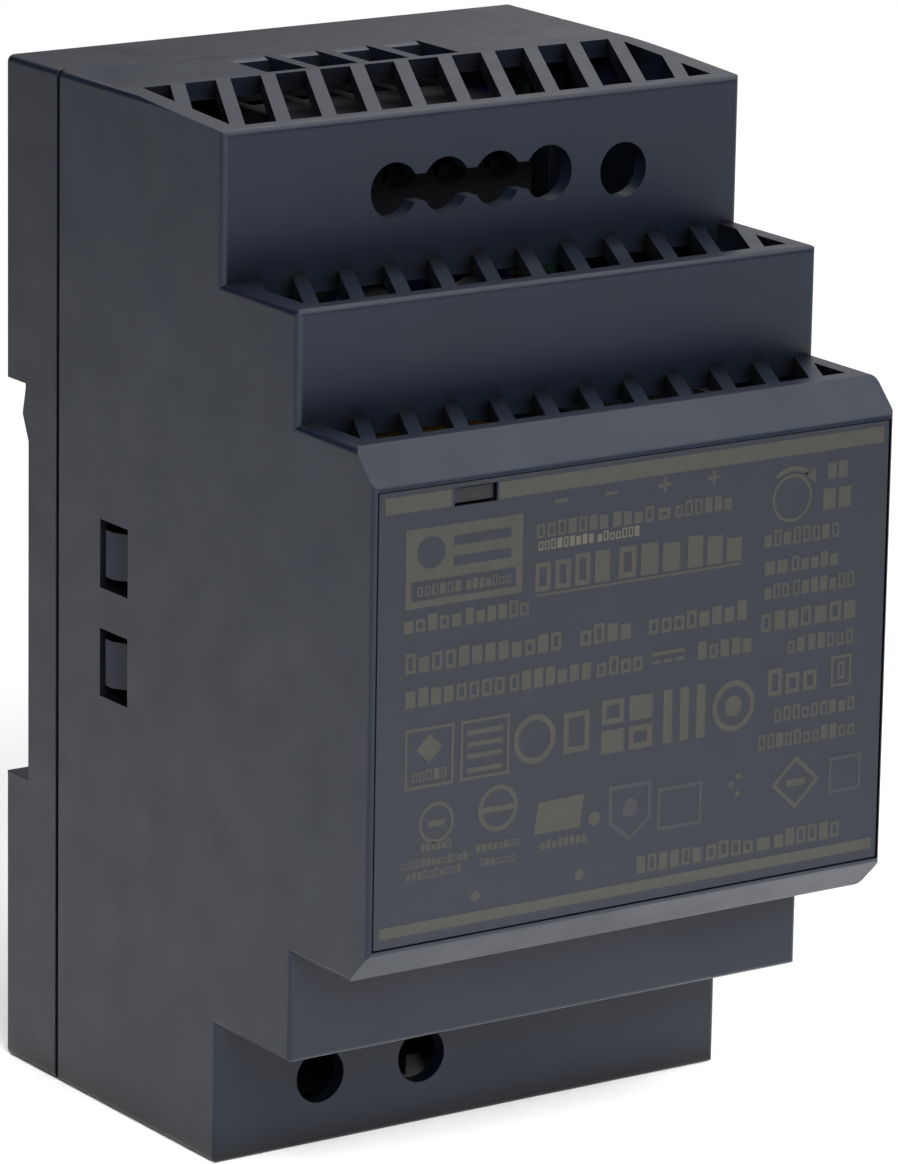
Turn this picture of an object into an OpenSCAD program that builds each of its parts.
// DIN rail power supply, three modules wide, in a stepped plastic housing.
// Millimetres. +X is right, +Z is up and -Y is towards the user.
// The origin is on the rail's centre line, in the plane that the rail's flanges touch.

/* [Housing] */
// Width of the housing, three modules
body_w = 52.5; // [52:0.1:54]
// Height of the housing above the rail's centre line
above_rail = 46; // [46:0.1:47]
// Height of the housing below the rail's centre line
below_rail = 44; // [44:0.1:45]
// Depth from the rail plane to the front face
front_depth = 55; // [55:0.1:57]
// Depth from the rail plane to the middle steps
middle_depth = 43.5; // [43:0.1:44]
// Depth from the rail plane to the terminal faces
terminal_depth = 32; // [32:0.1:33]
// Height of the front block
front_h = 45; // [44:0.1:45.5]
// Height of the middle block
middle_h = 64; // [63.5:0.1:64.5]
// Chamfer along the top and bottom of the front block
front_chamfer = 3; // [2:0.1:3.5]
// Radius of the housing's outer edges
edge_r = 0.6; // [0.3:0.1:1]
// Wall thickness at the top, bottom and steps
wall = 1.6; // [1.4:0.1:1.8]
// Wall thickness at the sides
side_wall = 2; // [1.8:0.1:2]

/* [Rail] */
// Width of the rail that the housing clips on
rail_w = 35; // [35:0.1:35.1]
// Play of the rail in its channel
rail_play = 0.4; // [0.3:0.1:0.6]
// Thickness of the rail's flanges
rail_t = 1; // [0.8:0.1:1]
// Depth of the housing behind the rail plane
behind_rail = 2.5; // [2.5:0.1:3]

/* [Louvres] */
// Width of one slot
slot_w = 3.05; // [2.5:0.05:3.2]
// Distance between slots
slot_pitch = 4.5; // [4.3:0.05:4.8]
// Angle between a slot and the depth direction
slot_angle = 28; // [20:1:32]

/* [Terminals] */
// Distance between two output poles
pole_pitch = 5.2; // [5.1:0.05:5.3]
// Diameter of a screwdriver hole in the housing
driver_d = 4.8; // [4.5:0.1:4.9]
// Width of a wire entry
wire_w = 4; // [3.6:0.1:4.2]
// Diameter of a terminal screw
screw_d = 2.5; // [2.3:0.1:2.6]
// Travel of a wire clamp
clamp_travel = 3; // [2:0.1:3]

/* [Hidden] */
$fn = 48;

// Outer planes of the housing
top_z = above_rail;
bottom_z = -below_rail;
half_w = body_w / 2;
rear_y = behind_rail;
front_y = -front_depth;
middle_y = -middle_depth;
terminal_y = -terminal_depth;
// The steps sit slightly above the rail's centre line
step_rise = 0.3;
front_top = step_rise + front_h / 2;
front_bottom = step_rise - front_h / 2;
middle_top = step_rise + middle_h / 2;
middle_bottom = step_rise - middle_h / 2;
// The top wall falls towards the front from the first louvre on
top_fall = 1;
fall_y = -15.8;

// Joint between the rear base and the front housing, with a groove down each side
seam_y = -6.2;
groove_w = 0.5;
groove_depth = 0.6;
inner_w = body_w - 2 * side_wall;
lip_gap = 0.15;
lip_t = 1.5;
lip_z = [-40, 42];
base_inner = inner_w / 2 - lip_gap - lip_t;
// Longer than the whole housing, for cuts that run right through
far = 60;

// Snap windows in the sides and the hooks that fill them
window_z = [5.4, -4.2];
window_h = 6;
window_y = [-17.5, -13];
arm_h = 4.2;
arm_tip = -18.2;
catch_depth = 1.8;
catch_y = [-14.6, -13.2];

// Front label and its recess
recess_depth = 0.4;
rim_w = 0.35;
label_gap = 0.2;
label_play = 0.1;
label_top = front_top - front_chamfer - 0.25;
label_bottom = front_bottom + front_chamfer + 0.25;
lens_x = [-18.4, -14.2];
lens_z = [17.5, 19.05];
lens_rear = -12;

// Rail parts: the flange gap lies between the pads at y = 0 and the hooks
channel_w = rail_w + rail_play;
channel_floor = -1;
base_wall = 1.8;
hook_y = rail_t + 0.2;
hook_grip = 1.6;
pad_h = 4;
latch_w = 13;
latch_flange_w = 17;
latch_front = -1.2;
latch_step = 0.1;
latch_back = 2;
tooth_h = 2;
latch_bottom = bottom_z + 0.4;
guide_gap = 0.3;
guide_floor = latch_front - guide_gap;
spring_d = 3;
spring_y = 0.2;
spring_z = [-31.5, -21];
spring_wire = 0.5;
lug_h = 1.5;
blade_w = 7;

// Main board, parallel to the rail plane
board_back = -4.6;
board_front = -6.2;
board_w = 2 * (base_inner - 0.3);
board_z = [-41.9, 43.9];
sheet_y = [-3.3, -3];
post_spots = [[-20, 40], [20, 40], [-20, -39], [20, -39]];
post_d = 4;
pin_d = 2;
lead_end = -3.9;

// Terminals: each pole has a screw, a clamp that rises on it and a contact bar
output_z = 38.5;
input_z = -37.9;
output_x = [for (i = [0:3]) -1.5 + (i - 1.5) * pole_pitch];
input_x = [-15.65, -15.65 + 2 * pole_pitch];
block_front = -25;
block_up = 4.3;
block_down = 5.1;
pole_wall = 0.8;
clamp_h = 6.4;
clamp_w = 4.1;
clamp_opening = 2.7;
clamp_y = [-17.1, -8.1];
contact_y = [-14.3, -13.3];
contact_w = 2.2;
contact_pin = 4.1;
contact_hole = 1.3;
screw_tip = -14.4;
head_y = [-22.9, -20.9];
head_d = 3.9;
wire_y = [-15.4, -8.6];

// Voltage trimmer, behind its own screwdriver hole
trimmer_x = 14.05;
trimmer_z = 38;
trimmer_w = 6.6;
rotor_d = 3.4;

// Slots in screw and rotor heads
slot_t = 0.6;
cross_l = 2.6;

// Places of the parts on the board, across and up
fuse_at = [-17, -27.5];
varistor_at = [-6, -24];
thermistor_at = [-5.5, -29.6];
choke_at = [13, -34.2];
bridge_at = [7, -15];
bulk_at = [-12, -12.4];
core_at = [1, 6];
transistor_z = 6;
diode_z = 10;
smoothing_x = [-8, 2.8];
smoothing_z = 25.3;
coil_at = [16, 26.6];
safety_at = [9.5, 17.4];

// Ring cores: outer radius, inner radius and depth range, and the wire round them
choke_r = [7.2, 4];
coil_r = [5, 2.6];
ring_y = [-14.5, -8.5];
coil_y = [-13.5, -8.5];
wire_d = 0.6;

// Heatsink plates stand on the board beside the side walls
plate_x = [19.8, 21.8];
plate_front = -38;
package_screw_y = -27.2;
package_screw_d = 3;

// ---- outlines -------------------------------------------------------------

function unit(v) = v / norm(v);
function turn(a) = a > 180 ? a - 360 : a < -180 ? a + 360 : a;
// Points of the arc that rounds corner p between a and b; a nearly straight corner stays as it is
function corner(a, p, b, r, n) =
    let (u = unit(a - p), v = unit(b - p), half = acos(u * v) / 2)
    half > 80 ? [p] :
    let (c = p + unit(u + v) * r / sin(half), s = p + u * r / tan(half) - c, e = p + v * r / tan(half) - c,
        from = atan2(s.y, s.x), sweep = turn(atan2(e.y, e.x) - from))
    [for (i = [0:n]) c + r * [cos(from + sweep * i / n), sin(from + sweep * i / n)]];
function softened(pts, r, n = 4) = let (m = len(pts))
    [for (i = [0:m - 1]) each corner(pts[(i + m - 1) % m], pts[i], pts[(i + 1) % m], r, n)];
function oblong(lo, hi) = [lo, [hi.x, lo.y], hi, [lo.x, hi.y]];
// The limits of a width w about c
function about(c, w) = [c - w / 2, c + w / 2];

// An outline in Y and Z, extruded across the width w about x
module across(w, x = 0) {
    translate([x, 0, 0]) rotate([90, 0, 90]) linear_extrude(height = w, center = true) children();
}
// An outline in X and Z, extruded from y[0] to y[1]
module deep(y) {
    translate([0, y[1], 0]) rotate([90, 0, 0]) linear_extrude(height = y[1] - y[0]) children();
}
// An outline in X and Y, extruded from z[0] to z[1]
module tall(z) {
    translate([0, 0, z[0]]) linear_extrude(height = z[1] - z[0]) children();
}
// A plain block between two limits on each axis
module block(x, y, z) {
    translate([x[0], y[0], z[0]]) cube([x[1] - x[0], y[1] - y[0], z[1] - z[0]]);
}
// A round bar along Y
module rod(d, y, x = 0, z = 0) {
    translate([x, y[1], z]) rotate([90, 0, 0]) cylinder(d = d, h = y[1] - y[0]);
}
module both_sides() {
    children();
    mirror([1, 0, 0]) children();
}

// ---- housing --------------------------------------------------------------

// One block of the stepped housing, with every outer edge rounded
module soft_block(side, y, z) {
    intersection() {
        across(body_w) polygon(softened(side, edge_r));
        tall([z[0] - 1, z[1] + 1]) polygon(softened(oblong([-half_w, y[0]], [half_w, y[1]]), edge_r));
        deep([y[0] - 1, y[1] + 1]) polygon(softened(oblong([-half_w, z[0]], [half_w, z[1]]), edge_r));
    }
}

// The rearmost block runs past the seam, where it is cut off flat
module housing_blocks() {
    c = front_chamfer;
    rear = seam_y + 1;
    soft_block([[rear, bottom_z], [terminal_y, bottom_z], [terminal_y, top_z - top_fall],
        [fall_y, top_z], [rear, top_z]], [terminal_y, rear], [bottom_z, top_z]);
    soft_block(oblong([middle_y, middle_bottom], [seam_y - 2, middle_top]),
        [middle_y, seam_y - 2], [middle_bottom, middle_top]);
    soft_block([[seam_y - 2, front_bottom], [front_y + c, front_bottom], [front_y, front_bottom + c],
        [front_y, front_top - c], [front_y + c, front_top], [seam_y - 2, front_top]],
        [front_y, seam_y - 2], [front_bottom, front_top]);
}

module housing_cavity() {
    y3 = front_y + 2;
    y2 = middle_y + wall;
    y1 = terminal_y + wall;
    c = front_chamfer;
    across(inner_w) polygon([[0, bottom_z + wall], [y1, bottom_z + wall], [y1, middle_bottom + wall],
        [y2, middle_bottom + wall], [y2, front_bottom + wall], [y3 + c, front_bottom + wall],
        [y3, front_bottom + wall + c], [y3, front_top - wall - c], [y3 + c, front_top - wall],
        [y2, front_top - wall], [y2, middle_top - wall], [y1, middle_top - wall],
        [y1, top_z - top_fall - wall], [fall_y, top_z - wall], [0, top_z - wall]]);
}

// A row of slanted slots between y[0], nearer the front, and y[1]
module louvre(y, z) {
    shift = (y[1] - y[0]) * tan(slot_angle);
    edge = inner_w / 2;
    tall(z) intersection() {
        polygon(oblong([-edge, y[0]], [edge, y[1]]));
        for (i = [-2:10]) {
            x = -23.1 + slot_pitch * i;
            polygon([[x, y[0]], [x + slot_w, y[0]], [x + slot_w + shift, y[1]], [x + shift, y[1]]]);
        }
    }
}

module louvres() {
    rear = [-30.4, -16.2];
    middle = [middle_y + 1.7, terminal_y];
    front = [front_y + front_chamfer + 1.5, middle_y];
    louvre(rear, [top_z - 5, top_z + 1]);
    louvre(rear, [bottom_z - 1, bottom_z + wall + 1]);
    louvre(middle, [middle_top - wall - 1, middle_top + 1]);
    louvre(middle, [middle_bottom - 1, middle_bottom + wall + 1]);
    louvre(front, [front_top - wall - 1, front_top + 1]);
    louvre(front, [front_bottom - 1, front_bottom + wall + 1]);
}

// A wire entry through the top wall, with a short lead-in at the rear
module wire_entry(x) {
    rear = wire_y[1] - 0.9;
    across(wire_w, x) polygon([[wire_y[1], top_z + 1], [wire_y[1], top_z], [rear, top_z - 0.25],
        [rear, top_z - 3], [wire_y[0], top_z - 3], [wire_y[0], top_z + 1]]);
}

module driver_holes() {
    y = [terminal_y - 1, terminal_y + wall + 1];
    for (x = output_x) rod(driver_d, y, x, output_z);
    block([output_x[0], output_x[3]], y, [output_z - 1.2, output_z + 1.2]);
    rod(driver_d, y, trimmer_x, trimmer_z);
    for (x = input_x) rod(driver_d, y, x, input_z);
}

module front_housing() {
    color([0.19, 0.20, 0.23]) difference() {
        housing_blocks();
        housing_cavity();
        louvres();
        for (x = output_x) wire_entry(x);
        for (x = input_x) mirror([0, 0, 1]) translate([0, 0, below_rail - above_rail]) wire_entry(x);
        driver_holes();
        block([-far, far], [seam_y, far], [-far, far]);
        for (z = window_z) block([-far, far], window_y, about(z, window_h));
        block([rim_w - half_w, half_w - rim_w], [front_y - 1, front_y + recess_depth],
            [label_bottom, label_top]);
        block([lens_x[0] - label_play, lens_x[1] + label_play], [front_y - 1, front_y + 3],
            [lens_z[0] - label_play, lens_z[1] + label_play]);
    }
}

module front_label() {
    x = half_w - rim_w - label_gap;
    color([0.27, 0.28, 0.32]) difference() {
        block([-x, x], [front_y + 0.1, front_y + recess_depth],
            [label_bottom + label_play, label_top - label_play]);
        block(lens_x, [front_y - 1, front_y + 1], lens_z);
    }
}

module light_pipe() {
    color([0.5, 0.55, 0.5])
        block([lens_x[0] + label_play, lens_x[1] - label_play], [front_y + 0.5, lens_rear],
            [lens_z[0] + label_play, lens_z[1] - label_play]);
}

// ---- rear base and rail latch ----------------------------------------------

module base_shell() {
    outline = softened(oblong([-half_w, bottom_z], [half_w, top_z]), edge_r);
    g = groove_depth;
    deep([seam_y + groove_w, rear_y]) polygon(outline);
    deep([seam_y, seam_y + groove_w])
        polygon(oblong([g - half_w, bottom_z], [half_w - g, top_z]));
    // Locating lips inside the housing's side walls
    both_sides() block([base_inner, base_inner + lip_t], [seam_y - 2.8, seam_y], lip_z);
}

// The hollow is shallower behind the rail channel and behind the latch guide
module base_hollow() {
    x = base_inner;
    z = [bottom_z + wall, top_z - wall];
    inner = channel_floor - base_wall;
    step = channel_w / 2 + base_wall;
    block([-x, x], [seam_y - 3, inner], z);
    block([-x, x], [inner - 1, rear_y - 2], [step, z[1]]);
    both_sides() block([latch_flange_w / 2 + 1.9, x], [inner - 1, rear_y - 2], [z[0], -step]);
}

module latch_guide() {
    slot = latch_w / 2 + guide_gap;
    groove = latch_flange_w / 2 + guide_gap;
    block([-slot, slot], [guide_floor, far], [bottom_z - 1, -channel_w / 2]);
    block([-groove, groove], [guide_floor, latch_step + guide_gap], [bottom_z - 1, -channel_w / 2 - 0.8]);
}

// Snap arm with its hook; the ramp faces forward
module snap_arm(z) {
    x = base_inner + lip_t;
    tall(about(z, arm_h)) polygon([[base_inner, seam_y], [x, seam_y], [x, catch_y[1]],
        [x + catch_depth, catch_y[1]], [x + catch_depth, catch_y[0]], [x, window_y[0] + 0.2],
        [x, arm_tip], [base_inner, arm_tip]]);
}

module board_post(spot) {
    rod(post_d, [board_back, rear_y - 1.5], spot.x, spot.y);
    rod(pin_d, [board_front - 1, board_back + 0.5], spot.x, spot.y);
}

module rear_base() {
    c = channel_w / 2;
    color([0.19, 0.20, 0.23]) {
        difference() {
            base_shell();
            base_hollow();
            block([-far, far], [channel_floor, far], [-c, c]);
            latch_guide();
        }
        // Fixed hook over the rail's upper flange
        block([-20, 20], [hook_y, rear_y - 0.1], [c - 0.2 - hook_grip, c + 0.5]);
        // Pads that the flanges rest on
        block([-20, 20], [channel_floor - 0.2, 0], [c - pad_h, c + 0.2]);
        both_sides() block([latch_flange_w / 2 + 2, 22.6], [channel_floor - 0.2, 0], [-c - 0.2, pad_h - c]);
        // Rib at each end of the upper pad
        both_sides() across(1.4, half_w - 0.7)
            polygon([[channel_floor - 0.2, c + 0.2], [-0.5, c + 0.2], [-0.5, c - 0.4], [0, 15],
                [channel_floor, 12.7], [channel_floor - 0.2, 12.7]]);
        for (spot = post_spots) board_post(spot);
        both_sides() for (z = window_z) snap_arm(z);
        // Lug and stub that hold the fixed end of the spring
        block([-1.6, 1.6], [guide_floor - 0.2, 1.4], [spring_z[0] - lug_h, spring_z[0]]);
        translate([0, spring_y, spring_z[0]]) cylinder(d = 1.5, h = 1.2);
    }
}

module rail_latch() {
    c = channel_w / 2;
    window = spring_d / 2 + 0.4;
    color([0.14, 0.15, 0.17]) difference() {
        union() {
            block(about(0, latch_w), [latch_front, latch_back], [latch_bottom, -c - 0.3]);
            block(about(0, latch_flange_w), [latch_front, latch_step], [latch_bottom, -c - 1]);
            // Tooth behind the rail's lower flange, with a ramp that the rail pushes on
            across(latch_w - 1) polygon([[hook_y, -c - 1], [hook_y, tooth_h - c],
                [hook_y + 0.4, tooth_h - c], [rear_y - 0.1, 0.6 - c], [rear_y - 0.1, -c - 0.3],
                [latch_back, -c - 1]]);
        }
        block([-window, window], [latch_front - 1, latch_back + 1],
            [spring_z[0] - lug_h - 1.4, spring_z[1]]);
        // Slot for a screwdriver blade
        block(about(0, blade_w), [latch_front - 1, latch_back + 1], [latch_bottom + 2, latch_bottom + 4.2]);
    }
}

module latch_spring() {
    color([0.7, 0.7, 0.72]) translate([0, spring_y, spring_z[0] + 0.02]) difference() {
        cylinder(d = spring_d, h = spring_z[1] - spring_z[0] - 0.04);
        translate([0, 0, -1]) cylinder(d = spring_d - 2 * spring_wire, h = far);
    }
}

// ---- terminals ------------------------------------------------------------

// A terminal block whose wires enter from the top; z is the screws' height
module terminal_body(poles, z) {
    side = pole_pitch / 2 + 0.6;
    cavity = pole_pitch / 2 - pole_wall / 2;
    difference() {
        block([poles[0] - side, poles[len(poles) - 1] + side], [block_front, board_front],
            [z - block_down, z + block_up]);
        for (x = poles) {
            block([x - cavity, x + cavity], [clamp_y[0] - clamp_travel - 0.6, clamp_y[1] + 0.6],
                about(z, 7.2));
            block(about(x, wire_w), [contact_y[1] + 0.2, wire_y[1]], [z, z + far]);
            block(about(x, 2.6), [contact_y[0] - 0.1, board_front + 1], [z - 4.7, z - 3.5]);
            rod(head_d + 0.3, [-23.3, -20], x, z);
            rod(3.6, [block_front - 1, -23], x, z);
        }
    }
}

// Contact bars: each stands in its clamp and runs back to a pin through the board
module contact_bars(poles, z) {
    for (x = poles) {
        block(about(x, contact_w), contact_y, [z - 4.5, z + 3.4]);
        block(about(x, contact_w), [contact_y[0], board_front - 0.2], [z - 4.5, z - 3.7]);
        block(about(x, 0.8), [board_front - 1, lead_end], about(z - contact_pin, 0.6));
    }
}

module terminal_screw(x, z) {
    color([0.75, 0.75, 0.72]) difference() {
        union() {
            rod(screw_d, [head_y[1] - 0.1, screw_tip], x, z);
            rod(head_d, head_y, x, z);
        }
        // Combined slot and cross in the head
        block(about(x, head_d + 0.3), about(head_y[0], 2), about(z, slot_t));
        block(about(x, slot_t), about(head_y[0], 2), about(z, cross_l));
    }
}

module wire_clamp(x, z) {
    color([0.8, 0.8, 0.78]) difference() {
        block(about(x, clamp_w), clamp_y, about(z, clamp_h));
        block(about(x, clamp_opening), [clamp_y[0] + 2, clamp_y[1] - 1], about(z, far));
        rod(screw_d + 0.1, [clamp_y[0] - 1, clamp_y[0] + 3], x, z);
    }
}

// The input parts are the output parts upside down
module upside_down() {
    mirror([0, 0, 1]) children();
}

module output_terminal_block() {
    color([0.10, 0.11, 0.12]) terminal_body(output_x, output_z);
}
module input_terminal_block() {
    color([0.10, 0.11, 0.12]) upside_down() terminal_body(input_x, -input_z);
}
module output_contacts() {
    color([0.78, 0.6, 0.35]) contact_bars(output_x, output_z);
}
module input_contacts() {
    color([0.78, 0.6, 0.35]) upside_down() contact_bars(input_x, -input_z);
}

// ---- board and what is on it -------------------------------------------------

// A coated disc that stands on two flat leads, which are a pitch apart
module disc_on_leads(at, d, t, y, pitch, lead) {
    translate([at.x, y, at.y]) cylinder(d = d, h = t, center = true);
    for (s = [-0.5, 0.5]) block(about(at.x + s * pitch, lead), [-10, board_front], about(at.y, lead));
}

// A round can that stands on two wire leads
module can_on_leads(at, d, y, pitch, lead) {
    rod(d, y, at.x, at.y);
    for (s = [-0.5, 0.5]) rod(lead, [-7.5, board_front], at.x + s * pitch, at.y);
}

// A ring about the Y axis; r holds its outer and inner radius
module ring(at, r, y) {
    difference() {
        rod(2 * r[0], y, at.x, at.y);
        rod(2 * r[1], [y[0] - 1, y[1] + 1], at.x, at.y);
    }
}

// One square turn of wire round such a ring, at the angle a
module turn_of_wire(at, r, y, a) {
    d = wire_d;
    translate([at.x, 0, at.y]) rotate([0, a, 0]) difference() {
        block([r[1] - d, r[0] + d], [y[0] - d, y[1] + d], about(0, d));
        block([r[1] - 0.02, r[0] + 0.02], [y[0] - 0.02, y[1] + 0.02], about(0, 3 * d));
    }
}

module main_board() {
    x = board_w / 2;
    color([0.16, 0.36, 0.2]) difference() {
        block([-x, x], [board_front, board_back], board_z);
        for (spot = post_spots) rod(pin_d + 0.2, [board_front - 1, board_back + 1], spot.x, spot.y);
        for (px = output_x) rod(contact_hole, [board_front - 1, board_back + 1], px, output_z - contact_pin);
        for (px = input_x) rod(contact_hole, [board_front - 1, board_back + 1], px, input_z + contact_pin);
    }
}

module insulating_sheet() {
    x = board_w / 2;
    color([0.85, 0.8, 0.65]) difference() {
        block([-x, x], sheet_y, board_z);
        for (spot = post_spots) rod(post_d + 0.2, [sheet_y[0] - 1, sheet_y[1] + 1], spot.x, spot.y);
    }
}

module voltage_trimmer() {
    color([0.15, 0.3, 0.6]) difference() {
        block(about(trimmer_x, trimmer_w), [-11.2, board_front], about(trimmer_z, trimmer_w));
        rod(rotor_d + 0.1, [-12, -8.2], trimmer_x, trimmer_z);
    }
}
module trimmer_rotor() {
    color([0.9, 0.9, 0.88]) difference() {
        rod(rotor_d, [-11.5, -8.3], trimmer_x, trimmer_z);
        block(about(trimmer_x, cross_l), [-12, -10.7], about(trimmer_z, 0.5));
        block(about(trimmer_x, 0.5), [-12, -10.7], about(trimmer_z, cross_l));
    }
}

module fuse() {
    color([0.12, 0.12, 0.12]) rod(8.4, [-14, board_front], fuse_at.x, fuse_at.y);
}
module varistor() {
    color([0.1, 0.25, 0.6]) disc_on_leads(varistor_at, 10, 4, -13, 5.2, 0.8);
}
module inrush_thermistor() {
    color([0.1, 0.12, 0.1]) disc_on_leads(thermistor_at, 9, 3.6, -12.5, 5, 0.8);
}
module interference_capacitor() {
    color([0.75, 0.7, 0.2]) block([1.5, 19.5], [-20.7, board_front], [-25.6, -18.2]);
}

module choke_core() {
    color([0.15, 0.16, 0.15]) ring(choke_at, choke_r, ring_y);
}
// Two windings of separate turns, one on each side of the choke's core
module choke_windings() {
    color([0.72, 0.4, 0.2]) for (side = [0, 180], i = [-3:3])
        turn_of_wire(choke_at, choke_r, ring_y, side + i * 17);
}

module bridge_rectifier() {
    color([0.13, 0.13, 0.14]) {
        block(about(bridge_at.x, 18), [-20, -9], about(bridge_at.y, 3.2));
        for (i = [-1.5:1.5]) rod(1, [-10, board_front], bridge_at.x - 0.1 + 4.6 * i, bridge_at.y);
    }
}

module bulk_capacitor() {
    color([0.1, 0.12, 0.2]) can_on_leads(bulk_at, 16, [-38, -7], 7.5, 0.8);
}

// The transformer's coil axis points forward; its core closes round both sides
module transformer_core() {
    color([0.22, 0.22, 0.23]) translate([core_at.x, 0, core_at.y]) {
        difference() {
            block([-13, 13], [-32, -11], [-4, 4]);
            block([-9.6, 9.6], [-28.5, -14.5], [-5, 5]);
        }
        block([-3.6, 3.6], [-29, -14], [-4, 4]);
    }
}
module transformer_bobbin() {
    color([0.12, 0.12, 0.12]) translate([core_at.x, 0, core_at.y]) difference() {
        union() {
            block([-9.3, 9.3], [-15.6, -14.7], [-9, 9]);
            block([-9.3, 9.3], [-28.3, -27.4], [-9, 9]);
            block([-4.7, 4.7], [-28, -15], [-5.1, 5.1]);
            both_ends() block([-9.3, 9.3], [-15, board_front], [4.3, 9]);
        }
        block([-3.8, 3.8], [-40, -5], [-4.2, 4.2]);
    }
}
module both_ends() {
    children();
    mirror([0, 0, 1]) children();
}
module transformer_winding() {
    color([0.8, 0.65, 0.2]) translate([core_at.x, 0, core_at.y]) difference() {
        deep([-27.3, -15.7]) polygon(softened(oblong([-9.2, -8.6], [9.2, 8.6]), 3, 6));
        block([-4.8, 4.8], [-40, -5], [-5.2, 5.2]);
    }
}

// A flat power package bolted to a heatsink whose face is at x; side is +1 or -1
module power_package(x, side, z) {
    difference() {
        union() {
            block_between([x, x + side * 1.3], [-30, -15], about(z, 10));
            block_between([x, x + side * 4.4], [-24, -15], about(z, 10));
        }
        sideways_hole(z, package_screw_d + 0.6);
    }
    for (i = [-1:1]) block_between([x + side * 2.2, x + side * 2.8], [-15.5, board_front],
        about(z + 2.54 * i, 0.8));
}
module block_between(x, y, z) {
    block([min(x), max(x)], y, z);
}
// The hole for a package's screw
module sideways_hole(z, d) {
    translate([0, package_screw_y, z]) rotate([0, 90, 0]) cylinder(d = d, h = far, center = true);
}
module fin_plate(z) {
    difference() {
        block(plate_x, [plate_front, board_front], about(z, 18));
        sideways_hole(z, package_screw_d + 0.2);
    }
}

module primary_heatsink() {
    color([0.7, 0.71, 0.72]) mirror([1, 0, 0]) fin_plate(transistor_z);
}
module secondary_heatsink() {
    color([0.7, 0.71, 0.72]) fin_plate(diode_z);
}
module power_transistor() {
    color([0.12, 0.12, 0.13]) power_package(-plate_x[0], 1, transistor_z);
}
module output_diode() {
    color([0.12, 0.12, 0.13]) power_package(plate_x[0], -1, diode_z);
}
// One screw through each heatsink into its power package
module heatsink_screws() {
    color([0.75, 0.75, 0.74]) for (side = [-1, 1]) {
        z = side < 0 ? transistor_z : diode_z;
        translate([side * 20.3, package_screw_y, z]) rotate([0, side * 90, 0]) {
            translate([0, 0, -2.6]) cylinder(d = package_screw_d, h = 4.1);
            translate([0, 0, -4]) cylinder(d = 5.4, h = 2.2);
        }
    }
}

module output_capacitors() {
    color([0.1, 0.15, 0.35]) for (x = smoothing_x)
        can_on_leads([x, smoothing_z], 10, [-27, -6.7], 5, 0.7);
}

module inductor_core() {
    color([0.75, 0.65, 0.15]) ring(coil_at, coil_r, coil_y);
}
module inductor_winding() {
    color([0.72, 0.4, 0.2]) for (i = [0:11]) turn_of_wire(coil_at, coil_r, coil_y, i * 30);
}

module safety_capacitor() {
    color([0.2, 0.45, 0.75]) disc_on_leads(safety_at, 8, 3, -12, 4.6, 0.6);
}
module optocoupler() {
    color([0.9, 0.9, 0.88]) block([-3.3, 3.3], [-9.8, board_front], [15.3, 19.9]);
}
module controller_chip() {
    color([0.12, 0.12, 0.13]) block([12, 17], [-7.8, board_front], [-9, -5]);
}
module indicator_led() {
    x = (lens_x[0] + lens_x[1]) / 2;
    z = (lens_z[0] + lens_z[1]) / 2;
    color([0.3, 0.8, 0.35]) {
        rod(3, [-11.6, -7], x, z);
        rod(3.8, [-7.6, board_front], x, z);
    }
}

rear_base();
front_housing();
front_label();
light_pipe();
rail_latch();
latch_spring();
output_terminal_block();
input_terminal_block();
output_contacts();
input_contacts();
terminal_screw(output_x[0], output_z);  // output_screw_1
terminal_screw(output_x[1], output_z);  // output_screw_2
terminal_screw(output_x[2], output_z);  // output_screw_3
terminal_screw(output_x[3], output_z);  // output_screw_4
terminal_screw(input_x[0], input_z);  // input_screw_1
terminal_screw(input_x[1], input_z);  // input_screw_2
wire_clamp(output_x[0], output_z);  // output_clamp_1
wire_clamp(output_x[1], output_z);  // output_clamp_2
wire_clamp(output_x[2], output_z);  // output_clamp_3
wire_clamp(output_x[3], output_z);  // output_clamp_4
wire_clamp(input_x[0], input_z);  // input_clamp_1
wire_clamp(input_x[1], input_z);  // input_clamp_2
voltage_trimmer();
trimmer_rotor();
main_board();
insulating_sheet();
fuse();
varistor();
inrush_thermistor();
interference_capacitor();
choke_core();
choke_windings();
bridge_rectifier();
bulk_capacitor();
transformer_core();
transformer_bobbin();
transformer_winding();
power_transistor();
primary_heatsink();
output_diode();
secondary_heatsink();
heatsink_screws();
output_capacitors();
inductor_core();
inductor_winding();
safety_capacitor();
optocoupler();
controller_chip();
indicator_led();
